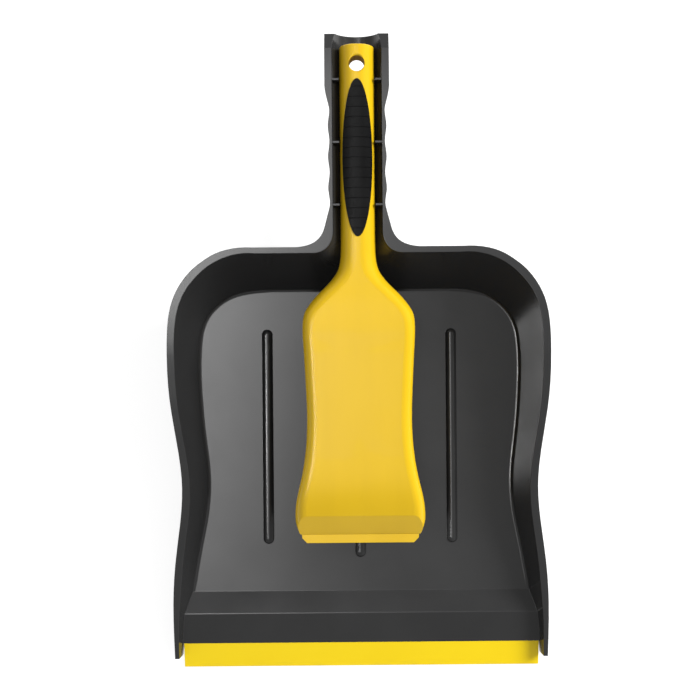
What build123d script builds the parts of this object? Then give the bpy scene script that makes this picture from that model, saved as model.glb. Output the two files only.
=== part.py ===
"""Dustpan with a rubber lip and a hand brush that nests in its handle channel.

Millimetres. +X across the pan, +Y towards the end of the handle, +Z up. The origin is on
the floor, under the middle of the whole set.
"""

from build123d import *
import math
import os

# ---- Overall ----------------------------------------------------------------
LIP_EDGE = -185.5
HANDLE_END = 186.7
RIM_HEIGHT = 50.0  # top of the rim at the rear and along the handle
FLOOR_THICKNESS = 2.5
WALL = 2.2
HANDLE_WALL = 1.4
CUT_ABOVE = 6.0  # cutting solids run this far past the rim
FLANGE_THICKNESS = 2.2
SMALL = 0.3  # clearance between pieces that lift apart
TINY = 0.01  # tolerance for picking out edges
BELOW = -1.0  # height under the ground where cuts from below start

# ---- Bowl -------------------------------------------------------------------
# Right-hand half outlines (x, y), from the straight rear edge round to the front.
FLOOR_EDGE = [
    (54, 43.0), (69, 41.6), (79.8, 38.0), (86.8, 33.0), (91.7, 27.2), (94.9, 20.3),
    (96.6, 11.0), (97.3, -3.0), (96.7, -20), (94.6, -45), (91.9, -71), (93.4, -93),
    (97.8, -116), (102.2, -140), (105.5, -154), (107.8, -168), (108.6, -200),
]
# The inner wall surface carried up to the full rim height; it pairs with FLOOR_EDGE.
WALL_TOP_EDGE = [
    (58, 61.5), (76.5, 59.0), (85.3, 54.3), (92.6, 47.7), (98.4, 40.0), (102.2, 31.3),
    (104.4, 21.0), (105.8, 5.2), (106.6, -20), (104.7, -45), (104.1, -71), (108.1, -93),
    (114.0, -116), (117.5, -140), (116.7, -154), (114.3, -168), (110.8, -200),
]
FLANGE_EDGE = [
    (60, 64.9), (73.5, 64.0), (80.6, 61.8), (88.3, 57.3), (94.6, 52.2), (99.8, 46.0),
    (104.2, 38.2), (107.3, 28.0), (108.8, 15.0), (109.3, 3.0), (108.8, -20), (105.8, -45),
    (103.6, -71), (105.4, -93), (109.0, -116), (111.4, -140), (111.9, -154),
    (112.0, -168), (111.8, -200),
]
WALL_END = -178.2  # the side walls and rim stop here
FLOOR_FILLET = 1.8

# Seen from the side, the rim is level at the rear, turns down over the bend and then runs
# straight to the front.
RIM_BEND = (42.0, 5.0)  # y where the bend starts and ends
RIM_SLOPE = 0.196  # drop per millimetre in front of the bend
RIM_FRONT = -205.0  # the rim's curve is drawn as far as this
END_BEND = 177.3  # y where the rim turns down at the end of the handle
END_SLOPE = 0.55

# ---- Front step and ramp (y, z) -----------------------------------------------
STEP_FOOT = (-139.4, FLOOR_THICKNESS)
STEP_CREST = (-152.0, 7.6)
RAMP_END = (-170.7, 3.4)
RAMP_THICKNESS = 2.2
CREST_RADIUS = 1.2
RIB_FOOT = 0.6  # ribs in the ramp's hollow stop this far above the ground
CREST_EXTRA = 0.1  # the sheet is this much thicker under its crest
SHEET_ROOT = 4.0  # how far the sheet runs back into the bowl's floor
SHEET_TOE = 1.0  # its underside meets the ground this far in front of the foot
RIB_DIP = 0.5  # the ribs are drawn this far lower, so that they stay under the sheet
BOWL_REACH = 130.0  # half length of anything cut to fit between the side walls
FAR = 150.0  # half width and reach of solids that only cut or trim
RAMP_RIB_X = [-88, -53, -18, 18, 53, 88]
RAMP_RIB_THICKNESS = 1.6

# ---- Lip ----------------------------------------------------------------------
LIP_HALF_WIDTH = 107.6
LIP_TIP_HEIGHT = 0.9
TONGUE_HALF_WIDTH = 103.0
TONGUE_LENGTH = 3.8
TONGUE_ROOT = 1.0  # how far it starts inside the ramp's end
TONGUE_Z = (1.2, 2.0)
GROOVE_GAP = 0.1

# ---- Floor beads --------------------------------------------------------------
BEAD_WIDTH = 6.4
BEAD_HEIGHT = 2.0
BEADS = [(-55.7, 19.3, -110.8), (0, 19.3, -119.2), (55.7, 19.3, -110.8)]  # x, rear, front

# ---- Handle channel -------------------------------------------------------------
CHANNEL_HALF_WIDTH = 14.2
CHANNEL_FLOOR = 37.5
CHANNEL_FLOOR_THICKNESS = 1.8
MOUTH_RADIUS = 12.0  # rounding where the channel opens into the bowl
OUTER_MOUTH_RADIUS = 9.0
HANDLE_HALF_WIDTH = 18.3
NOTCH_PITCH = 17.85
FIRST_NOTCH = 142.6
NOTCH_COUNT = 4
NOTCH_HALF_WIDTH = 15.7
BUMP_HALF_WIDTH = 16.6
# Side of the handle flange from its end to the first notch.
HANDLE_SHOULDER = [(HANDLE_HALF_WIDTH, 158.5), (17.85, 152.2), (16.8, 147.7)]
# Flare of the handle flange into the rear rim.
FLARE = [(16.7, 84.4), (18.5, 77.6), (20.0, 73.0), (23.4, 68.6), (30.0, 65.6)]
FLARE_END = (42.0, 64.9)
RIB_Y = [159.7, 124.2, 88.8]
RIB_THICKNESS = 1.2
RIB_SINK = 0.4  # rib tops below the rim
RIB_BITE = 0.5  # how far each rib runs into the channel's wall
CHANNEL_START = 45.0  # the channel's hollow starts here, inside the bowl
CHANNEL_WALL_START = 50.0  # its walls and flange start here, inside the bowl's rear wall
RIB_REACH = (80, 170)  # the stretch of the channel that holds all the ribs
OVERRUN = 5.0  # cuts that leave at an open end run this far past it

# ---- Hanging holes ----------------------------------------------------------------
HOLE_Y = 168.0
PAN_HOLE_RADIUS = 7.0
PAN_BOSS_RADIUS = 10.0
PAN_BOSS_Z = (34.6, 38.6)
SPOTFACE_RADIUS = 8.6
BRUSH_HOLE_RADIUS = 4.4
BRUSH_HOLE_CHAMFER = 0.8
END_RADIUS = 1.0

# ---- Brush body ---------------------------------------------------------------------
HANDLE_TOP = 52.5
HANDLE_BOTTOM = 40.3
BRUSH_END = 179.1
BLOCK_BOTTOM = 39.5
# A section is: half width, top z, bottom z, top corner radius, bottom corner radius.
HANDLE_SECTION = (9.85, HANDLE_TOP, HANDLE_BOTTOM, 9.0, 3.0)  # constant along the handle
# Stations from the handle to the nose: y, then a section.
BRUSH_STATIONS = [
    (66.0, *HANDLE_SECTION),
    (63.0, *HANDLE_SECTION),
    (59.9, 9.98, 52.5, 40.3, 9.0, 3.0),
    (55.9, 10.5, 52.6, 40.2, 9.0, 3.0),
    (51.9, 11.7, 52.9, 40.1, 9.5, 3.0),
    (48.3, 13.9, 53.3, 40.0, 10.0, 2.9),
    (44.8, 16.75, 53.7, 39.9, 10.2, 2.8),
    (38.2, 23.25, 54.6, 39.7, 10.0, 2.2),
    (32.1, 28.2, 55.4, 39.6, 9.0, 1.8),
    (27.0, 30.9, 55.8, 39.5, 7.4, 1.3),
    (21.5, 31.7, 56.0, 39.5, 6.4, 1.2),
    (7.0, 31.3, 56.0, 39.5, 6.2, 1.2),
    (-13.5, 30.2, 56.0, 39.5, 6.2, 1.2),
    (-38.0, 29.7, 56.0, 39.5, 6.2, 1.2),
    (-54.0, 31.0, 56.0, 39.5, 6.2, 1.2),
    (-62.0, 32.3, 55.9, 39.5, 6.2, 1.2),
    (-68.0, 33.6, 55.6, 39.5, 6.2, 1.2),
    (-74.0, 35.1, 54.9, 39.5, 6.3, 1.2),
    (-80.0, 36.3, 53.6, 39.5, 6.4, 1.2),
    (-84.0, 36.8, 52.4, 39.5, 6.6, 1.2),
    (-88.0, 37.0, 51.0, 39.5, 6.6, 1.2),
    (-91.6, 36.8, 49.6, 39.5, 6.2, 1.2),
    (-94.2, 36.1, 48.4, 39.5, 5.2, 1.2),
    (-96.8, 35.3, 46.9, 39.5, 4.5, 1.2),
    (-98.7, 34.2, 45.8, 39.5, 4.0, 1.2),
]
NOSE_FACE = [(-82.0, 55.3), (-119.0, 26.3)]  # (y, z) line of the flat face across the nose
LEDGE_Z = (40.0, 42.0)
LEDGE = [(33.9, -96.0), (33.3, -100.9), (30.6, -103.7)]  # right half of its outline

# ---- Grip pad -------------------------------------------------------------------------
PAD_Y = 114.9
PAD_HALF_WIDTH = 8.5
PAD_HALF_LENGTH = 44.45
PAD_FLOOR = 47.2
PAD_COLUMN = 10.0  # height of the cutter over the recess
PAD_PROUD = 0.25
PAD_GAP = 0.05
GROOVE_COUNT = 15
GROOVE_PITCH = 5.69
GROOVE_WIDTH = 0.7
GROOVE_DEPTH = 0.45
GROOVE_CUTTER = 30.0  # across the handle, and its height

# ---- Bristles ----------------------------------------------------------------------------
ROWS = 15
ROW_PITCH = 7.32
FIRST_ROW_Y = 13.5
COLUMN_PITCH = 8.0
BLOCK_MARGIN = 3.4  # solid edge left outside the outer holes
TUFT_RADIUS = 2.15
TUFT_HOLE_RADIUS = 2.2
TUFT_HOLE_TOP = 46.0
TIP_RADIUS = 3.75
TIP_SPREAD = 1.1  # tips stand this much further from the middle of the field
TIP_Z = FLOOR_THICKNESS + SMALL
TIP_Z_OVER_BEAD = FLOOR_THICKNESS + BEAD_HEIGHT + SMALL
ANCHOR = (4.2, 0.4, 1.2)  # flat wire staple: x, y, z
ANCHOR_Z = 44.3
SLOT_GAP = 0.03


# ---- Helpers -------------------------------------------------------------------------------
def mirrored(points):
    """The left-hand copy of right-hand points, in reverse order."""
    return [(-x, *rest) for x, *rest in reversed(points)]


def grow(points, amount):
    """Moves each outline point outwards along the outline's local normal."""
    grown = []
    for i, (x, y) in enumerate(points):
        x0, y0 = points[max(i - 1, 0)]
        x1, y1 = points[min(i + 1, len(points) - 1)]
        dx, dy = x1 - x0, y1 - y0
        if i == 0:
            dx, dy = 1.0, 0.0
        length = math.hypot(dx, dy)
        grown.append((x - dy / length * amount, y + dx / length * amount))
    return grown


def bowl_outline(points, z):
    """Closed face at height z: straight rear and front, one spline along each side."""
    right = [(x, y, z) for x, y in points]
    left = mirrored(right)
    edges = [Line(left[-1], right[0]), Spline(*right), Line(right[-1], left[0]), Spline(*left)]
    return Face(Wire(edges))


def wall_points(z):
    """The inner wall's outline at height z, on the straight slope between its two edges."""
    share = (z - FLOOR_THICKNESS) / (RIM_HEIGHT - FLOOR_THICKNESS)
    pairs = zip(FLOOR_EDGE, WALL_TOP_EDGE)
    return [(a + (c - a) * share, b + (d - b) * share) for (a, b), (c, d) in pairs]


def bowl_solid(low_z, high_z, growth=0.0):
    """The bowl's inside between two heights, with its walls moved outwards by growth."""
    sections = [bowl_outline(grow(wall_points(z), growth), z) for z in (low_z, high_z)]
    return loft(sections, ruled=True)


def across(points, half_width):
    """Solid from a closed (y, z) polygon, extruded both ways along X."""
    face = make_face(Plane.YZ * Polyline(*points, close=True))
    return extrude(face, amount=half_width, both=True)


def rim_line(z):
    """The rim's (y, z) bend and straight slope, moved so that its level part is at z."""
    start, end = RIM_BEND
    corner = (start + end) / 2
    foot = (end, z - (corner - end) * RIM_SLOPE)
    front = (RIM_FRONT, z - (corner - RIM_FRONT) * RIM_SLOPE)
    return [Bezier((start, z), (corner, z), foot), Line(foot, front)]


def rim_band(high, low):
    """Layer that follows the rim from front to rear, between two heights of its level part."""
    upper, lower = rim_line(high), rim_line(low)
    back = HANDLE_END + OVERRUN
    drop = (back - END_BEND) * END_SLOPE
    edges = [
        *upper,
        Line(upper[-1] @ 1, lower[-1] @ 1),
        *lower,
        Line(lower[0] @ 0, (END_BEND, low)),
        Line((END_BEND, low), (back, low - drop)),
        Line((back, low - drop), (back, high - drop)),
        Line((back, high - drop), (END_BEND, high)),
        Line((END_BEND, high), upper[0] @ 0),
    ]
    return extrude(make_face(Plane.YZ * Wire(edges)), amount=FAR, both=True)


def in_front_of(y):
    """Block that takes in everything in front of y."""
    return Pos(0, y - FAR, 0) * Box(2 * FAR, 2 * FAR, 2 * FAR)


def channel(half_width, floor, start, end, top):
    """Round-bottomed U along Y between two heights."""
    shoulder = floor + half_width
    edges = [
        Line((-half_width, top), (-half_width, shoulder)),
        ThreePointArc((-half_width, shoulder), (0, floor), (half_width, shoulder)),
        Line((half_width, shoulder), (half_width, top)),
        Line((half_width, top), (-half_width, top)),
    ]
    face = make_face(Plane.XZ.offset(-end) * Wire(edges))
    return extrude(face, amount=end - start)


def round_mouth(solid, half_width, radius):
    """Rounds the U-shaped corner where the channel meets the bowl's rear wall."""
    corner = [
        e
        for e in solid.edges()
        if e.bounding_box().min.Y > FLOOR_EDGE[0][1]
        and e.bounding_box().max.Y < HANDLE_END / 2
        and max(abs(e.bounding_box().min.X), abs(e.bounding_box().max.X)) < half_width + TINY
        and e.bounding_box().size.Z > TINY
    ]
    return fillet(corner, radius)


# ---- Pan ------------------------------------------------------------------------------------
def pan_cavity():
    """Everything the pan is hollow for: the bowl's inside and the handle channel."""
    high = RIM_HEIGHT + CUT_ABOVE
    bowl = bowl_solid(FLOOR_THICKNESS, high)
    floor_edges = [e for e in bowl.edges() if e.bounding_box().max.Z < FLOOR_THICKNESS + TINY]
    bowl = fillet(floor_edges, FLOOR_FILLET) + (bowl & in_front_of(STEP_FOOT[0]))
    end = HANDLE_END + OVERRUN
    slot = channel(CHANNEL_HALF_WIDTH, CHANNEL_FLOOR, CHANNEL_START, end, high)
    return round_mouth(bowl + slot, CHANNEL_HALF_WIDTH, MOUTH_RADIUS)


def pan_shell():
    """Outer walls of the bowl and handle, solid inside."""
    high = RIM_HEIGHT + CUT_ABOVE
    bowl = bowl_solid(0, high, WALL)
    half_width = CHANNEL_HALF_WIDTH + HANDLE_WALL
    floor = CHANNEL_FLOOR - CHANNEL_FLOOR_THICKNESS
    slot = channel(half_width, floor, CHANNEL_WALL_START, HANDLE_END, high)
    boss_height = PAN_BOSS_Z[1] - PAN_BOSS_Z[0]
    boss = Pos(0, HOLE_Y, PAN_BOSS_Z[0] + boss_height / 2) * Cylinder(PAN_BOSS_RADIUS, boss_height)
    return round_mouth(bowl + slot, half_width, OUTER_MOUTH_RADIUS) + boss


def flange():
    """The flat rim around the bowl and handle, with the finger notches in its handle part."""
    notches = []
    for i in range(NOTCH_COUNT):
        y = FIRST_NOTCH - i * NOTCH_PITCH
        notches.append((NOTCH_HALF_WIDTH, y))
        if i < NOTCH_COUNT - 1:
            notches.append((BUMP_HALF_WIDTH, y - NOTCH_PITCH / 2))
    side = HANDLE_SHOULDER + notches + FLARE + [FLARE_END]
    left = mirrored(side)
    inside_y = CHANNEL_WALL_START
    edges = [
        Line((-HANDLE_HALF_WIDTH, HANDLE_END), (HANDLE_HALF_WIDTH, HANDLE_END)),
        Line((HANDLE_HALF_WIDTH, HANDLE_END), side[0]),
        Spline(*side),
        Line(FLARE_END, (FLARE_END[0], inside_y)),
        Line((FLARE_END[0], inside_y), (-FLARE_END[0], inside_y)),
        Line((-FLARE_END[0], inside_y), left[0]),
        Spline(*left),
        Line(left[-1], (-HANDLE_HALF_WIDTH, HANDLE_END)),
    ]
    plan = bowl_outline(FLANGE_EDGE, 0) + Face(Wire(edges))
    column = extrude(plan, amount=RIM_HEIGHT + CUT_ABOVE, dir=(0, 0, 1))
    return column & rim_band(RIM_HEIGHT, RIM_HEIGHT - FLANGE_THICKNESS)


def bead(x, rear, front):
    """Raised half-round strip with rounded ends on the bowl floor."""
    half = BEAD_WIDTH / 2
    radius = (half**2 + BEAD_HEIGHT**2) / (2 * BEAD_HEIGHT)
    centre_z = FLOOR_THICKNESS + BEAD_HEIGHT - radius
    length = rear - front - BEAD_WIDTH
    rod = Pos(x, (rear + front) / 2, centre_z) * Rot(90, 0, 0) * Cylinder(radius, length)
    for y in (rear - half, front + half):
        rod += Pos(x, y, centre_z) * Sphere(radius)
    keep_low = FLOOR_THICKNESS / 2
    keep = Pos(x, (rear + front) / 2, keep_low + radius) * Box(
        2 * BEAD_WIDTH, length + 2 * BEAD_WIDTH, 2 * radius
    )
    return rod & keep


def ramp():
    """Step and ramp at the front: a bent sheet with its tongue, and ribs in its hollow."""
    foot_y, foot_z = STEP_FOOT
    crest_y, crest_z = STEP_CREST
    end_y, end_z = RAMP_END
    sheet = across(
        [
            (foot_y + SHEET_ROOT, foot_z),
            STEP_FOOT,
            STEP_CREST,
            RAMP_END,
            (end_y, end_z - RAMP_THICKNESS),
            (crest_y, crest_z - RAMP_THICKNESS - CREST_EXTRA),
            (foot_y - SHEET_TOE, 0),
            (foot_y + SHEET_ROOT, 0),
        ],
        BOWL_REACH,
    )
    crest = [
        e
        for e in sheet.edges()
        if abs(e.center().Y - crest_y) < CREST_EXTRA
        and e.center().Z > crest_z - CREST_EXTRA
        and e.bounding_box().size.X > 1
    ]
    sheet = fillet(crest, CREST_RADIUS)
    for x in RAMP_RIB_X:
        rib = across(
            [STEP_FOOT, STEP_CREST, RAMP_END, (end_y, RIB_FOOT), (foot_y, RIB_FOOT)],
            RAMP_RIB_THICKNESS / 2,
        )
        sheet += Pos(x, 0, -RIB_DIP) * rib
    tongue_z = sum(TONGUE_Z) / 2
    tongue = Pos(0, end_y - (TONGUE_LENGTH - TONGUE_ROOT) / 2, tongue_z) * Box(
        2 * TONGUE_HALF_WIDTH, TONGUE_LENGTH + TONGUE_ROOT, TONGUE_Z[1] - TONGUE_Z[0]
    )
    inside = bowl_solid(BELOW, RIM_HEIGHT, WALL / 2)
    return (sheet & inside) + tongue


def handle_ribs():
    """Cross ribs of the handle channel, cut out so that the brush handle lifts straight out."""
    half_width = CHANNEL_HALF_WIDTH + RIB_BITE
    filled = channel(half_width, CHANNEL_FLOOR - RIB_BITE, *RIB_REACH, RIM_HEIGHT + CUT_ABOVE)
    centre_z = RIM_HEIGHT - RIB_SINK - FAR / 2
    slices = [Pos(0, y, centre_z) * Box(FAR, RIB_THICKNESS, FAR) for y in RIB_Y]
    widest_z = HANDLE_SECTION[1] - HANDLE_SECTION[3]
    way_out = Pos(0, sum(RIB_REACH) / 2, widest_z + FAR / 2) * Box(
        2 * (HANDLE_SECTION[0] + SMALL), RIB_REACH[1] - RIB_REACH[0], FAR
    )
    return (filled & (Part() + slices)) - brush_handle(SMALL) - way_out


def pan_body():
    """The pan moulding."""
    cavity = pan_cavity()
    walls = (pan_shell() & rim_band(RIM_HEIGHT, -FAR)) + flange()
    body = walls - cavity - in_front_of(WALL_END)
    hollow = bowl_solid(BELOW, FLOOR_THICKNESS) & in_front_of(STEP_FOOT[0])
    end_y, end_z = RAMP_END
    past_walls = WALL_END - OVERRUN
    lip_room = across(
        [(end_y, BELOW), (end_y, end_z), (past_walls, end_z), (past_walls, BELOW)],
        LIP_HALF_WIDTH + GROOVE_GAP,
    )
    body = body - hollow - lip_room
    body = body + ramp() + [bead(*place) for place in BEADS] + handle_ribs()
    depth = PAN_BOSS_Z[1] - PAN_BOSS_Z[0]
    body -= Pos(0, HOLE_Y, PAN_BOSS_Z[1] + depth) * Cylinder(SPOTFACE_RADIUS, 2 * depth)
    body -= Pos(0, HOLE_Y, PAN_BOSS_Z[0]) * Cylinder(PAN_HOLE_RADIUS, 4 * depth)
    return body


# ---- Lip ------------------------------------------------------------------------------------
def front_lip():
    """Soft strip that carries the ramp down to the floor, grooved for the pan's tongue."""
    end_y, end_z = RAMP_END
    rear = end_y - GROOVE_GAP
    strip = across(
        [(rear, 0), (rear, end_z - GROOVE_GAP), (LIP_EDGE, LIP_TIP_HEIGHT), (LIP_EDGE, 0)],
        LIP_HALF_WIDTH,
    )
    low, high = TONGUE_Z
    groove = Pos(0, end_y - TONGUE_LENGTH / 2, (low + high) / 2) * Box(
        2 * (TONGUE_HALF_WIDTH + GROOVE_GAP),
        TONGUE_LENGTH + 2 * GROOVE_GAP,
        high - low + 2 * GROOVE_GAP,
    )
    return strip - groove


# ---- Brush ----------------------------------------------------------------------------------
def rounded_section(y, half, top, bottom, top_radius, bottom_radius, gap=0.0):
    """Cross-section of the brush at y: a rectangle with two corner radii, grown by gap."""
    half, top, bottom = half + gap, top + gap, bottom - gap
    upper, lower = top_radius + gap, bottom_radius + gap
    cut = 1 - math.sqrt(0.5)
    right = [
        Line((0, y, bottom), (half - lower, y, bottom)),
        ThreePointArc(
            (half - lower, y, bottom),
            (half - lower * cut, y, bottom + lower * cut),
            (half, y, bottom + lower),
        ),
        Line((half, y, bottom + lower), (half, y, top - upper)),
        ThreePointArc(
            (half, y, top - upper),
            (half - upper * cut, y, top - upper * cut),
            (half - upper, y, top),
        ),
        Line((half - upper, y, top), (0, y, top)),
    ]
    left = [edge.mirror(Plane.YZ) for edge in reversed(right)]
    return Face(Wire(right + left))


def brush_handle(gap):
    """The straight part of the brush handle, grown by gap."""
    end = rounded_section(BRUSH_END, *HANDLE_SECTION, gap=gap)
    return extrude(end, amount=BRUSH_END - BRUSH_STATIONS[0][0], dir=(0, -1, 0))


def half_width_at(y):
    """Half width of the brush block at y, between its nearest two stations."""
    for (y1, w1, *_), (y2, w2, *_) in zip(BRUSH_STATIONS, BRUSH_STATIONS[1:]):
        if y2 <= y <= y1:
            return w1 + (w2 - w1) * (y - y1) / (y2 - y1)
    return 0.0


def tufts():
    """Every tuft, row by row: root (x, y), tip (x, y) and tip height."""
    middle = FIRST_ROW_Y - (ROWS - 1) * ROW_PITCH / 2
    rows = []
    for i in range(ROWS):
        y = FIRST_ROW_Y - i * ROW_PITCH
        room = 2 * (half_width_at(y) - BLOCK_MARGIN - TUFT_HOLE_RADIUS)
        count = int(room / COLUMN_PITCH) + 1
        row = []
        for j in range(count):
            x = (j - (count - 1) / 2) * COLUMN_PITCH
            tip_x, tip_y = x * TIP_SPREAD, middle + (y - middle) * TIP_SPREAD
            over_bead = abs(tip_x) < BEAD_WIDTH / 2 + TIP_RADIUS + SMALL
            row.append((x, y, tip_x, tip_y, TIP_Z_OVER_BEAD if over_bead else TIP_Z))
        rows.append(row)
    return rows


def ledge():
    """Thin straight shelf along the bottom of the nose."""
    points = LEDGE + mirrored(LEDGE)
    face = Face(Wire(Polyline(*points, close=True)))
    return extrude(Pos(0, 0, LEDGE_Z[0]) * face, amount=LEDGE_Z[1] - LEDGE_Z[0], dir=(0, 0, 1))


def nose_cut():
    """What the flat face takes off the nose."""
    (rear_y, rear_z), (front_y, front_z) = NOSE_FACE
    above = rear_z + CUT_ABOVE
    corners = [(rear_y, rear_z), (front_y, front_z), (front_y, above), (rear_y, above)]
    return across(corners, FAR)


def pad_column(gap):
    """Elliptical column over the grip recess."""
    outline = Ellipse(PAD_HALF_WIDTH - gap, PAD_HALF_LENGTH - gap)
    return extrude(Pos(0, PAD_Y, PAD_FLOOR) * outline, amount=PAD_COLUMN)


def brush_body():
    """Handle, neck and bristle block in one moulding."""
    handle = brush_handle(0)
    end_edges = [e for e in handle.edges() if e.bounding_box().min.Y > BRUSH_END - TINY]
    handle = fillet(end_edges, END_RADIUS)
    block = loft([rounded_section(*station) for station in BRUSH_STATIONS]) - nose_cut()
    body = handle + block + ledge()
    hole = Pos(0, HOLE_Y, HANDLE_BOTTOM) * Cylinder(BRUSH_HOLE_RADIUS, FAR)
    wide = BRUSH_HOLE_RADIUS + BRUSH_HOLE_CHAMFER
    inset = BRUSH_HOLE_CHAMFER / 2
    top = Pos(0, HOLE_Y, HANDLE_TOP - inset)
    hole += top * Cone(BRUSH_HOLE_RADIUS, wide, BRUSH_HOLE_CHAMFER)
    bottom = Pos(0, HOLE_Y, HANDLE_BOTTOM + inset)
    hole += bottom * Cone(wide, BRUSH_HOLE_RADIUS, BRUSH_HOLE_CHAMFER)
    body = body - hole - pad_column(0)
    depth = TUFT_HOLE_TOP - BLOCK_BOTTOM + OVERRUN
    centre_z = TUFT_HOLE_TOP - depth / 2
    holes = [
        Pos(x, y, centre_z) * Cylinder(TUFT_HOLE_RADIUS, depth)
        for row in tufts()
        for x, y, *_ in row
    ]
    return body - holes


def grip_pad():
    """Rubber inlay that follows the handle's crown, with shallow cross grooves."""
    pad = pad_column(PAD_GAP) & brush_handle(PAD_PROUD)
    first = PAD_Y - (GROOVE_COUNT - 1) / 2 * GROOVE_PITCH
    slices = [
        Pos(0, first + i * GROOVE_PITCH, HANDLE_TOP)
        * Box(GROOVE_CUTTER, GROOVE_WIDTH, GROOVE_CUTTER)
        for i in range(GROOVE_COUNT)
    ]
    grooves = Part() + slices - brush_handle(PAD_PROUD - GROOVE_DEPTH)
    return pad - grooves


def bristle_row(row):
    """One row of tufts: a root in its hole, then a bundle that widens to its tip."""
    solids = []
    for x, y, tip_x, tip_y, tip_z in row:
        root_height = TUFT_HOLE_TOP - BLOCK_BOTTOM
        root = Pos(x, y, BLOCK_BOTTOM + root_height / 2) * Cylinder(TUFT_RADIUS, root_height)
        start = Pos(x, y, BLOCK_BOTTOM) * Circle(TUFT_RADIUS)
        end = Pos(tip_x, tip_y, tip_z) * Circle(TIP_RADIUS)
        tuft = root + loft([end, start], ruled=True)
        width, thickness, height = (size + 2 * SLOT_GAP for size in ANCHOR)
        slot = Pos(x, y, ANCHOR_Z) * Box(2 * width, thickness, height)
        solids.append(tuft - slot)
    return Compound(solids)


def tuft_anchors():
    """Flat wire staples that hold the folded tufts in their holes."""
    return Compound([Pos(x, y, ANCHOR_Z) * Box(*ANCHOR) for row in tufts() for x, y, *_ in row])


def main():
    """Writes every piece to its own STEP file."""
    os.makedirs("parts", exist_ok=True)
    pieces = {
        "pan_body": pan_body(),
        "front_lip": front_lip(),
        "brush_body": brush_body(),
        "grip_pad": grip_pad(),
        "tuft_anchors": tuft_anchors(),
    }
    for number, row in enumerate(tufts(), start=1):
        pieces[f"bristle_row_{number:02d}"] = bristle_row(row)
    for name, piece in pieces.items():
        export_step(piece, f"parts/{name}.step")


if __name__ == "__main__":
    main()
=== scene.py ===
import math

import bpy
import numpy as np
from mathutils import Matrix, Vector

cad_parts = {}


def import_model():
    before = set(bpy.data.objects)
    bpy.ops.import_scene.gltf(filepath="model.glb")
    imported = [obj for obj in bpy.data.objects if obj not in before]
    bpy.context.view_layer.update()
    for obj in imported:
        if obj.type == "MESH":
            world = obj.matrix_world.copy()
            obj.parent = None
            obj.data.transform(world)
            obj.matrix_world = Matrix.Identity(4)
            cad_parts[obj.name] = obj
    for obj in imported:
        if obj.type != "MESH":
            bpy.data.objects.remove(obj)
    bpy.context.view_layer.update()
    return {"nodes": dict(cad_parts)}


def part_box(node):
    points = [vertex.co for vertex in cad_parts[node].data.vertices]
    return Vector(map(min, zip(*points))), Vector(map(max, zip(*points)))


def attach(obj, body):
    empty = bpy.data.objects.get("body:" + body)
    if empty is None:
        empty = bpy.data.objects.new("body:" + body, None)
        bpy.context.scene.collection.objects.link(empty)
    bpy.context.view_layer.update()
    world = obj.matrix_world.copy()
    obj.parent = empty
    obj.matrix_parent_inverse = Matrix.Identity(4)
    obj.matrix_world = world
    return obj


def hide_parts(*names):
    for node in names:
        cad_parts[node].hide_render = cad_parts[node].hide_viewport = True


# ---- Bristles, in metres ---------------------------------------------------------
ROWS = 15
COLUMN_PITCH = 0.008
TIP_RADIUS = 0.00375  # a tuft's radius at its tip
TIP_SPREAD = 1.1  # tips stand this much further from the middle of the field
ROOT_RADIUS = 0.0019
BEAD_REACH = 0.00725  # tufts whose tip is nearer to the middle than this end above the bead
BEAD_HEIGHT = 0.002
BLOCK_BOTTOM = 0.0395
ROOT_DEPTH = 0.0015  # filaments start this far up their hole
FILAMENTS = 68
FILAMENT_RADIUS = 0.00021
FILAMENT_RINGS = 6
FILAMENT_SIDES = 3
FILAMENT_TAPER = 0.8  # width at the tip over width at the root
FLARE_POWER = 1.15  # filaments spread later than a straight cone
TIP_INSET = 0.0004  # tips keep this far inside the tuft's tip circle
TIP_JITTER = 0.00016
BOW_JITTER = 0.00032
TIP_SHORTFALL = 0.0009  # tips end up to this far above the tuft's end
DUST_HEIGHTS = (0.016, 0.003)  # dust starts at the first height and is full at the second
SEED = 7
GOLDEN_ANGLE = math.pi * (3 - math.sqrt(5))

LIP_SCUFF = 0.004  # the lip is scuffed this far back from its front edge

# ---- Brush's hanging hole, in metres ------------------------------------------------
HOLE_Y = 0.168
HOLE_RADIUS = 0.0044
HOLE_RIM_Z = 0.0518  # bottom of the chamfer at the top of the hole
HOLE_MARGIN = 1.06  # the mask for the bore's painted shade reaches this many radii out

# ---- Camera ------------------------------------------------------------------------
CAMERA_PLACE = (0.0, 0.0065, 0.671)
CAMERA_TURN = -0.0085
CAMERA_LENS = 56.57
CAMERA_SHIFT = -0.0135

# ---- Lights, in metres ---------------------------------------------------------------
TARGET = (0, 0, 0.03)
KEY_PLACE = (1.364, 0.665, 1.144)
KEY_SIZE = 0.9
KEY_POWER = 39.5
SKY_HORIZON = 0.84
SKY_ZENITH = 0.54
SKY_SPLIT = 0.5  # height in the sky, 0 to 1, where the zenith's light starts
HORIZON_GLOW = 0.25  # added at the horizon
HORIZON_REACH = 0.3
PANEL_HEIGHT = 1.6
PANEL_X = (0.35, -0.48)
PANEL_Y = (-0.62, 0.585)
PANEL_BASE = 0.75
PANEL_LEFT = 8.2  # added at the panel's left edge
PANEL_REAR = 2.0  # added at the panel's rear edge
PANEL_LEFT_FADE = (-1.0, 0.05)  # y between which the left side's light rises from nothing
PANEL_REAR_FADE = (0.12, 0.42)  # the same for the rear
FLOOR_GLOW = 0.79
FLOOR_REACH = 12.0
FLOOR_DROP = 0.0002  # the stage floor lies this far under the set
STRIP_X = (-0.80, -1.05)
STRIP_Y = (-0.42, 0.25)
STRIP_MIDDLE = -0.20  # y where the strip is brightest
STRIP_GLOW = 42.0

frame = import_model()
rng = np.random.default_rng(SEED)


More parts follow.
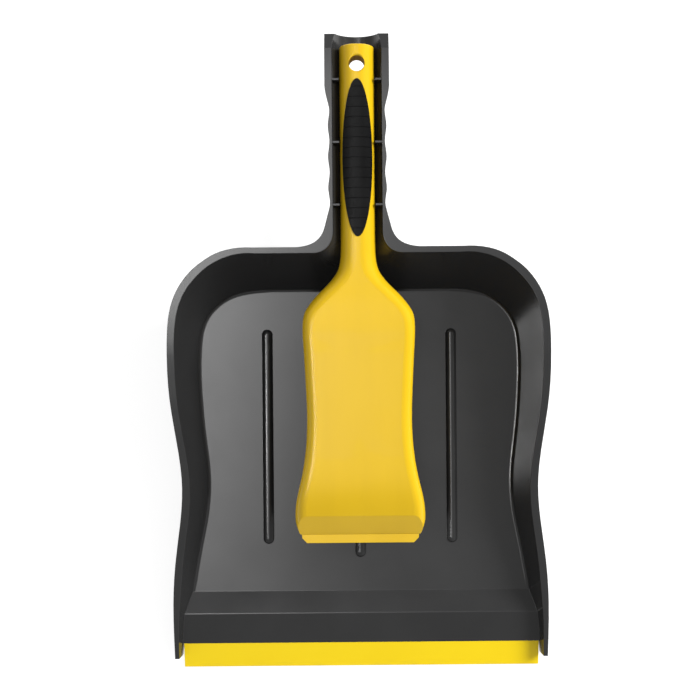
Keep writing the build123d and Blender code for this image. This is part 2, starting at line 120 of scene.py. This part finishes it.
# ---- Shader helpers ------------------------------------------------------------------
class Shader:
    """A material's node tree, with short ways to add the nodes that these looks use."""

    def __init__(self, name):
        self.material = bpy.data.materials.new(name)
        self.material.use_nodes = True
        self.tree = self.material.node_tree
        self.tree.nodes.clear()
        self.output = self.node("ShaderNodeOutputMaterial")
        self.surface = self.node("ShaderNodeBsdfPrincipled")
        self.link(self.surface.outputs["BSDF"], self.output.inputs["Surface"])
        self.coordinates = self.node("ShaderNodeTexCoord").outputs["Object"]

    def node(self, kind, **settings):
        made = self.tree.nodes.new(kind)
        for key, value in settings.items():
            setattr(made, key, value)
        return made

    def link(self, source, target):
        self.tree.links.new(source, target)

    def stretched(self, scale, turn=(0, 0, 0)):
        """Object coordinates times a scale for each axis."""
        mapping = self.node("ShaderNodeMapping")
        mapping.inputs["Scale"].default_value = scale
        mapping.inputs["Rotation"].default_value = turn
        self.link(self.coordinates, mapping.inputs["Vector"])
        return mapping.outputs["Vector"]

    def noise(self, scale, detail=2.0, roughness=0.5, vector=None):
        """Noise from 0 to 1; scale is in features per metre."""
        noise = self.node("ShaderNodeTexNoise")
        noise.inputs["Scale"].default_value = scale
        noise.inputs["Detail"].default_value = detail
        noise.inputs["Roughness"].default_value = roughness
        self.link(vector or self.coordinates, noise.inputs["Vector"])
        return noise.outputs["Fac"]

    def span(self, value, low, high, to_low=0.0, to_high=1.0):
        """Maps low..high to to_low..to_high, with the ends held."""
        mapped = self.node("ShaderNodeMapRange", clamp=True)
        self.link(value, mapped.inputs["Value"])
        for key, number in zip(
            ("From Min", "From Max", "To Min", "To Max"), (low, high, to_low, to_high)
        ):
            mapped.inputs[key].default_value = number
        return mapped.outputs["Result"]

    def math(self, operation, first, second):
        """One maths step on two values or numbers."""
        step = self.node("ShaderNodeMath", operation=operation)
        for socket, value in zip(step.inputs, (first, second)):
            if isinstance(value, (int, float)):
                socket.default_value = value
            else:
                self.link(value, socket)
        return step.outputs["Value"]

    def mix(self, share, first, second):
        """Colour between first and second by share; each is a colour or an output."""
        mixed = self.node("ShaderNodeMix", data_type="RGBA")
        self.link(share, mixed.inputs[0])
        for socket, value in zip((mixed.inputs[6], mixed.inputs[7]), (first, second)):
            if isinstance(value, tuple):
                socket.default_value = (*value, 1.0)
            else:
                self.link(value, socket)
        return mixed.outputs[2]

    def rounded(self, radius):
        """Normals that turn smoothly over sharp edges, and a mask that is 1 on those edges."""
        bevel = self.node("ShaderNodeBevel", samples=6)
        bevel.inputs["Radius"].default_value = radius
        plain = self.node("ShaderNodeNewGeometry").outputs["Normal"]
        along = self.node("ShaderNodeVectorMath", operation="DOT_PRODUCT")
        self.link(bevel.outputs["Normal"], along.inputs[0])
        self.link(plain, along.inputs[1])
        edge = self.span(along.outputs["Value"], 0.985, 0.80)
        return bevel.outputs["Normal"], edge

    def bump(self, height, distance, normal=None):
        """Bumps of that real height in metres, on top of another normal."""
        bump = self.node("ShaderNodeBump")
        bump.inputs["Strength"].default_value = 1.0
        bump.inputs["Distance"].default_value = distance
        self.link(height, bump.inputs["Height"])
        if normal is not None:
            self.link(normal, bump.inputs["Normal"])
        return bump.outputs["Normal"]

    def set(self, **values):
        """Sets or links the surface's sockets; underscores stand for spaces."""
        for key, value in values.items():
            socket = self.surface.inputs[key.replace("_", " ")]
            if isinstance(value, bpy.types.NodeSocket):
                self.link(value, socket)
            else:
                socket.default_value = value


def pan_plastic():
    """Glossy graphite moulding: faint flow marks, smudges, sweeping scratches, edges rubbed and
    also painted lighter as a highlight.
    """
    s = Shader("pan_plastic")
    normal, edge = s.rounded(0.00045)
    cloud = s.noise(22, 4, 0.55)
    speck = s.noise(2600, 2, 0.6)
    tone = s.mix(s.span(cloud, 0.35, 0.65), (0.0240, 0.0240, 0.0243), (0.0280, 0.0280, 0.0283))
    tone = s.mix(s.span(speck, 0.62, 0.80, 0.0, 0.5), tone, (0.034, 0.034, 0.034))
    # Edges lighter: part rubbed wear, part a painted edge highlight.
    tone = s.mix(s.math("MULTIPLY", edge, 0.35), tone, (0.050, 0.050, 0.051))
    swept = s.noise(1.0, 3, 0.6, s.stretched((1500, 26, 26)))
    scratch = s.span(swept, 0.66, 0.76)
    patches = s.span(s.noise(34, 3, 0.5), 0.45, 0.65)
    scratch = s.math("MULTIPLY", scratch, patches)
    smudge = s.span(s.noise(48, 5, 0.62), 0.40, 0.75, 0.0, 0.05)
    rough = s.math("ADD", smudge, s.span(speck, 0.3, 0.7, 0.155, 0.185))
    rough = s.math("ADD", rough, s.math("MULTIPLY", scratch, 0.10))
    rough = s.math("ADD", rough, s.math("MULTIPLY", edge, 0.08))
    wave = s.bump(s.noise(26, 1, 0.4), 0.00008, normal)
    peel = s.bump(s.noise(900, 2, 0.5), 0.0000022, wave)
    fine = s.bump(scratch, 0.0000015, peel)
    s.set(Base_Color=tone, Roughness=rough, IOR=1.5, Normal=fine)
    return s.material


def in_bore(s):
    """Mask that is 1 on the wall of the brush's hanging hole and 0 elsewhere."""
    place = s.node("ShaderNodeSeparateXYZ")
    s.link(s.coordinates, place.inputs["Vector"])
    across = s.math("POWER", place.outputs["X"], 2)
    along = s.math("POWER", s.math("SUBTRACT", place.outputs["Y"], HOLE_Y), 2)
    inside = s.math("LESS_THAN", s.math("ADD", across, along), (HOLE_MARGIN * HOLE_RADIUS) ** 2)
    return s.math("MULTIPLY", inside, s.math("LESS_THAN", place.outputs["Z"], HOLE_RIM_Z))


def brush_plastic():
    """Glossy yellow moulding with faint flow marks and handling smudges, edges rubbed and painted
    lighter as a highlight, and painted shade on the wall of the hanging hole.
    """
    s = Shader("brush_plastic")
    normal, edge = s.rounded(0.0004)
    flow = s.noise(1.0, 3, 0.5, s.stretched((60, 14, 40)))
    speck = s.noise(2200, 2, 0.6)
    tone = s.mix(s.span(flow, 0.35, 0.65), (0.755, 0.478, 0.0070), (0.785, 0.501, 0.0080))
    tone = s.mix(s.span(speck, 0.64, 0.82, 0.0, 0.35), tone, (0.70, 0.43, 0.006))
    # Edges lighter: part rubbed wear, part a painted edge highlight.
    tone = s.mix(s.math("MULTIPLY", edge, 0.3), tone, (0.85, 0.57, 0.018))
    # Painted shade: the hanging hole's wall is darkened as if in shadow, and made rough.
    shaded_bore = in_bore(s)
    tone = s.mix(shaded_bore, tone, (0.30, 0.165, 0.004))
    smudge = s.span(s.noise(60, 5, 0.6), 0.42, 0.74, 0.0, 0.07)
    rough = s.math("ADD", smudge, s.span(speck, 0.3, 0.7, 0.27, 0.31))
    rough = s.math("MAXIMUM", rough, s.math("MULTIPLY", shaded_bore, 0.95))
    wave = s.bump(s.noise(38, 1, 0.4), 0.00006, normal)
    peel = s.bump(s.noise(1000, 2, 0.5), 0.0000030, wave)
    s.set(Base_Color=tone, Roughness=rough, Normal=peel)
    s.set(IOR=1.5, Specular_IOR_Level=0.33)
    return s.material


def lip_rubber():
    """Soft yellow rubber, satin, with fine grain and a faintly scuffed front edge."""
    s = Shader("lip_rubber")
    normal, edge = s.rounded(0.00035)
    low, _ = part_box("front_lip")
    place = s.node("ShaderNodeSeparateXYZ")
    s.link(s.coordinates, place.inputs["Vector"])
    near_front = s.span(place.outputs["Y"], low.y + LIP_SCUFF, low.y)
    scuff = s.noise(1.0, 4, 0.6, s.stretched((90, 500, 500)))
    scuff = s.math("MULTIPLY", s.span(scuff, 0.5, 0.72), near_front)
    cloud = s.noise(30, 4, 0.5)
    tone = s.mix(s.span(cloud, 0.35, 0.65), (0.985, 0.702, 0.0010), (1.000, 0.722, 0.0020))
    tone = s.mix(s.math("MULTIPLY", scuff, 0.22), tone, (0.45, 0.33, 0.05))
    # Edges lighter: part rubbed wear, part a painted edge highlight.
    tone = s.mix(s.math("MULTIPLY", edge, 0.2), tone, (0.93, 0.70, 0.06))
    grain = s.noise(1700, 3, 0.6)
    rough = s.span(grain, 0.3, 0.7, 0.46, 0.58)
    wave = s.bump(s.noise(70, 2, 0.5), 0.00005, normal)
    s.set(Base_Color=tone, Roughness=rough, Normal=s.bump(grain, 0.000012, wave))
    s.set(IOR=1.5, Specular_IOR_Level=0.3)
    return s.material


def grip_rubber():
    """Matt black rubber inlay with a fine pebbled grain; edges polished by handling are shown as a
    painted sheen.
    """
    s = Shader("grip_rubber")
    normal, edge = s.rounded(0.0002)
    cloud = s.noise(70, 4, 0.55)
    pebbles = s.node("ShaderNodeTexVoronoi", feature="SMOOTH_F1")
    pebbles.inputs["Scale"].default_value = 2300
    s.link(s.coordinates, pebbles.inputs["Vector"])
    tone = s.mix(s.span(cloud, 0.35, 0.65), (0.0050, 0.0050, 0.0051), (0.0075, 0.0075, 0.0076))
    # Painted sheen: the edges are lightened as if catching light.
    tone = s.mix(s.math("MULTIPLY", edge, 0.5), tone, (0.020, 0.020, 0.020))
    rough = s.span(cloud, 0.3, 0.7, 0.46, 0.60)
    grain = s.bump(pebbles.outputs["Distance"], 0.00003, normal)
    s.set(Base_Color=tone, Roughness=rough, Normal=grain)
    s.set(IOR=1.47, Specular_IOR_Level=0.14)
    return s.material


def bristle_fibre():
    """Black filament, glossier and cleaner near the block, dusty and worn at the tips."""
    s = Shader("bristle_fibre")
    place = s.node("ShaderNodeSeparateXYZ")
    s.link(s.coordinates, place.inputs["Vector"])
    to_tip = s.span(place.outputs["Z"], *DUST_HEIGHTS)
    shade = s.span(s.noise(700, 2, 0.6), 0.3, 0.7)
    tone = s.mix(shade, (0.0060, 0.0060, 0.0064), (0.0150, 0.0148, 0.0150))
    dusty = s.mix(shade, (0.026, 0.025, 0.024), (0.052, 0.050, 0.047))
    tone = s.mix(s.math("MULTIPLY", to_tip, s.span(s.noise(160, 3, 0.6), 0.35, 0.7)), tone, dusty)
    rough = s.span(to_tip, 0, 1, 0.30, 0.55)
    ridges = s.noise(1.0, 2, 0.5, s.stretched((6000, 6000, 300)))
    s.set(Base_Color=tone, Roughness=rough, IOR=1.53, Normal=s.bump(ridges, 0.00001))
    return s.material


def anchor_wire():
    """Flat steel wire with drawing marks along its length."""
    s = Shader("anchor_wire")
    drawn = s.noise(1.0, 3, 0.6, s.stretched((200, 9000, 9000)))
    tone = s.mix(s.span(drawn, 0.3, 0.7), (0.42, 0.42, 0.43), (0.60, 0.60, 0.61))
    rough = s.span(drawn, 0.3, 0.7, 0.26, 0.42)
    s.set(Base_Color=tone, Roughness=rough, Metallic=1.0, Normal=s.bump(drawn, 0.000004))
    return s.material


def repaint(node, material):
    """Gives a CAD node its finish."""
    materials = frame["nodes"][node].data.materials
    materials.clear()
    materials.append(material)


# ---- Bristles --------------------------------------------------------------------------
def tuft_places(row):
    """The tufts of a row: root (x, y) and tip (x, y, z), from the CAD row's box."""
    low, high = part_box(f"bristle_row_{row:02d}")
    behind = (low.y + high.y) / 2 > field_middle
    tip_y = high.y - TIP_RADIUS if behind else low.y + TIP_RADIUS
    root_y = field_middle + (tip_y - field_middle) / TIP_SPREAD
    last = (high.x - TIP_RADIUS) / TIP_SPREAD
    count = round(2 * last / COLUMN_PITCH) + 1
    places = []
    for j in range(count):
        x = (j - (count - 1) / 2) * COLUMN_PITCH
        over_bead = abs(x * TIP_SPREAD) < BEAD_REACH
        tip_z = field_bottom + (BEAD_HEIGHT if over_bead else 0.0)
        places.append(((x, root_y), (x * TIP_SPREAD, tip_y, tip_z)))
    return places


def filament_paths(root, tip):
    """Centre lines of one tuft's filaments, an array of filament, ring, xyz."""
    index = np.arange(FILAMENTS)
    reach = np.sqrt((index + 0.5) / FILAMENTS)
    angle = index * GOLDEN_ANGLE + rng.uniform(0, 2 * math.pi)
    flat = np.stack([np.cos(angle), np.sin(angle)], 1) * reach[:, None]
    start = np.array(root) + flat * ROOT_RADIUS
    jitter = rng.normal(0, TIP_JITTER, (FILAMENTS, 2))
    end = np.array(tip[:2]) + flat * (TIP_RADIUS - TIP_INSET) + jitter
    bow = rng.normal(0, BOW_JITTER, (FILAMENTS, 2))
    end_z = tip[2] + rng.uniform(0, TIP_SHORTFALL, FILAMENTS)
    start_z = BLOCK_BOTTOM + ROOT_DEPTH
    paths = np.zeros((FILAMENTS, FILAMENT_RINGS, 3))
    for ring, share in enumerate(np.linspace(0, 1, FILAMENT_RINGS)):
        ease = share**FLARE_POWER
        paths[:, ring, :2] = start + (end - start) * ease + bow * math.sin(math.pi * share)
        paths[:, ring, 2] = start_z + (end_z - start_z) * share
    return paths


def bristle_piece(row, material):
    """One row of tufts as one mesh of closed three-sided filaments."""
    paths = np.concatenate([filament_paths(*place) for place in tuft_places(row)])
    count = len(paths)
    sides = np.arange(FILAMENT_SIDES) * 2 * math.pi / FILAMENT_SIDES
    turn = rng.uniform(0, 2 * math.pi, count)[:, None] + sides
    around = np.stack([np.cos(turn), np.sin(turn), np.zeros_like(turn)], 2)
    width = np.linspace(1.0, FILAMENT_TAPER, FILAMENT_RINGS) * FILAMENT_RADIUS
    points = paths[:, :, None, :] + around[:, None, :, :] * width[None, :, None, None]
    ring = np.arange(FILAMENT_SIDES)
    ahead = (ring + 1) % FILAMENT_SIDES
    quads = []
    for level in range(FILAMENT_RINGS - 1):
        low, high = level * FILAMENT_SIDES, (level + 1) * FILAMENT_SIDES
        quads.append(np.stack([low + ring, high + ring, high + ahead, low + ahead], 1))
    quads = np.concatenate(quads)
    step = FILAMENT_RINGS * FILAMENT_SIDES
    first = (np.arange(count) * step)[:, None, None]
    faces = (quads[None] + first).reshape(-1, 4).tolist()
    faces += (ring[None] + first[:, 0]).tolist()
    faces += (ring[::-1][None] + step - FILAMENT_SIDES + first[:, 0]).tolist()
    mesh = bpy.data.meshes.new(f"bristles_{row:02d}")
    mesh.from_pydata(points.reshape(-1, 3).tolist(), [], faces)
    mesh.validate()
    mesh.polygons.foreach_set("use_smooth", [len(f) == 4 for f in faces])
    mesh.materials.append(material)
    piece = bpy.data.objects.new(f"bristles_{row:02d}", mesh)
    bpy.context.scene.collection.objects.link(piece)
    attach(piece, "brush")
    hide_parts(f"bristle_row_{row:02d}")


# ---- Stage -------------------------------------------------------------------------------
def plane(name, corners, material):
    """A flat four-cornered stage piece."""
    mesh = bpy.data.meshes.new(name)
    mesh.from_pydata(corners, [], [(0, 1, 2, 3)])
    mesh.materials.append(material)
    made = bpy.data.objects.new(name, mesh)
    bpy.context.scene.collection.objects.link(made)
    return made


def floor():
    """Plain near-white floor."""
    s = Shader("floor")
    tone = s.mix(s.span(s.noise(3, 3, 0.5), 0.3, 0.7), (0.50, 0.50, 0.50), (0.52, 0.52, 0.52))
    glow = (1.0, 1.0, 1.0, 1.0)
    s.set(Base_Color=tone, Roughness=0.9, Emission_Color=glow, Emission_Strength=FLOOR_GLOW)
    far = FLOOR_REACH
    corners = [(-far, -far), (far, -far), (far, far), (-far, far)]
    plane("studio_floor", [(*corner, -FLOOR_DROP) for corner in corners], s.material)


def softbox():
    """Overhead panel seen only in reflections: brightest at the left, then at the rear."""
    s = Shader("softbox")
    s.tree.nodes.remove(s.surface)
    light = s.node("ShaderNodeEmission")
    place = s.node("ShaderNodeSeparateXYZ")
    s.link(s.coordinates, place.inputs["Vector"])
    x, y = place.outputs["X"], place.outputs["Y"]
    right, left = PANEL_X
    at_left = s.span(x, 0.0, left, 0.0, PANEL_LEFT)
    at_left = s.math("MULTIPLY", at_left, s.span(y, *PANEL_LEFT_FADE))
    at_rear = s.span(y, *PANEL_REAR_FADE, 0.0, PANEL_REAR)
    at_rear = s.math("MULTIPLY", at_rear, s.span(x, right, 0.0))
    strength = s.math("ADD", s.math("ADD", at_left, at_rear), PANEL_BASE)
    s.link(strength, light.inputs["Strength"])
    s.link(light.outputs["Emission"], s.output.inputs["Surface"])
    reflected("softbox", PANEL_X, PANEL_Y, s.material)


def strip():
    """Narrow panel further to the left, seen only in reflections."""
    s = Shader("strip")
    s.tree.nodes.remove(s.surface)
    light = s.node("ShaderNodeEmission")
    place = s.node("ShaderNodeSeparateXYZ")
    s.link(s.coordinates, place.inputs["Vector"])
    y = place.outputs["Y"]
    front, rear = STRIP_Y
    to_front, to_rear = s.span(y, front, STRIP_MIDDLE), s.span(y, rear, STRIP_MIDDLE)
    faded = s.math("MULTIPLY", to_front, to_rear)
    s.link(s.math("MULTIPLY", faded, STRIP_GLOW), light.inputs["Strength"])
    s.link(light.outputs["Emission"], s.output.inputs["Surface"])
    reflected("strip", STRIP_X, STRIP_Y, s.material)


def reflected(name, x, y, material):
    """Overhead panel between two x and two y that shows in reflections and nowhere else."""
    corners = [(x[0], y[0]), (x[0], y[1]), (x[1], y[1]), (x[1], y[0])]
    made = plane(name, [(*corner, PANEL_HEIGHT) for corner in corners], material)
    made.visible_diffuse = False
    made.visible_camera = False
    made.visible_shadow = False


def area(name, place, size, power):
    """Round area light at place that faces the set and stays out of reflections."""
    data = bpy.data.lights.new(name, "AREA")
    data.shape = "DISK"
    data.size = size
    data.energy = power
    made = bpy.data.objects.new(name, data)
    made.location = place
    made.rotation_euler = (Vector(TARGET) - Vector(place)).to_track_quat("-Z", "Y").to_euler()
    made.visible_glossy = False
    bpy.context.scene.collection.objects.link(made)


def sky_span(tree, value, low, high, to_low, to_high):
    """Smooth step in the world's node tree, from to_low at low to to_high at high."""
    step = tree.nodes.new("ShaderNodeMapRange")
    step.interpolation_type = "SMOOTHSTEP"
    step.inputs["From Min"].default_value = low
    step.inputs["From Max"].default_value = high
    step.inputs["To Min"].default_value = to_low
    step.inputs["To Max"].default_value = to_high
    tree.links.new(value, step.inputs["Value"])
    return step.outputs["Result"]


def world():
    """White at the horizon, so that floor and backdrop meet softly, and darker overhead."""
    made = bpy.data.worlds.new("studio")
    made.use_nodes = True
    tree = made.node_tree
    tree.nodes.clear()
    coordinates = tree.nodes.new("ShaderNodeTexCoord")
    split = tree.nodes.new("ShaderNodeSeparateXYZ")
    total = tree.nodes.new("ShaderNodeMath")
    light = tree.nodes.new("ShaderNodeBackground")
    output = tree.nodes.new("ShaderNodeOutputWorld")
    tree.links.new(coordinates.outputs["Generated"], split.inputs["Vector"])
    height = split.outputs["Z"]
    broad = sky_span(tree, height, 0.0, SKY_SPLIT, SKY_HORIZON, SKY_ZENITH)
    glow = sky_span(tree, height, 0.0, HORIZON_REACH, HORIZON_GLOW, 0.0)
    tree.links.new(broad, total.inputs[0])
    tree.links.new(glow, total.inputs[1])
    tree.links.new(total.outputs["Value"], light.inputs["Strength"])
    tree.links.new(light.outputs["Background"], output.inputs["Surface"])
    bpy.context.scene.world = made


def camera():
    """Straight above the set, square to it but for a slight turn."""
    data = bpy.data.cameras.new("camera")
    data.lens = CAMERA_LENS
    data.sensor_width = 36
    data.shift_x = CAMERA_SHIFT
    data.clip_start, data.clip_end = 0.01, 50
    made = bpy.data.objects.new("camera", data)
    made.location = CAMERA_PLACE
    made.rotation_euler = (0, 0, CAMERA_TURN)
    bpy.context.scene.collection.objects.link(made)
    bpy.context.scene.camera = made


# ---- The scene ---------------------------------------------------------------------------
row_boxes = [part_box(f"bristle_row_{row:02d}") for row in range(1, ROWS + 1)]
field_middle = (min(low.y for low, high in row_boxes) + max(high.y for low, high in row_boxes)) / 2
field_bottom = min(low.z for low, high in row_boxes)

repaint("pan_body", pan_plastic())
repaint("front_lip", lip_rubber())
repaint("brush_body", brush_plastic())
repaint("grip_pad", grip_rubber())
repaint("tuft_anchors", anchor_wire())
fibre = bristle_fibre()
for row in range(1, ROWS + 1):
    repaint(f"bristle_row_{row:02d}", fibre)
    bristle_piece(row, fibre)

floor()
softbox()
strip()
world()
camera()
area("key", KEY_PLACE, KEY_SIZE, KEY_POWER)

bpy.context.scene.view_settings.view_transform = "Standard"
bpy.context.scene.view_settings.look = "None"
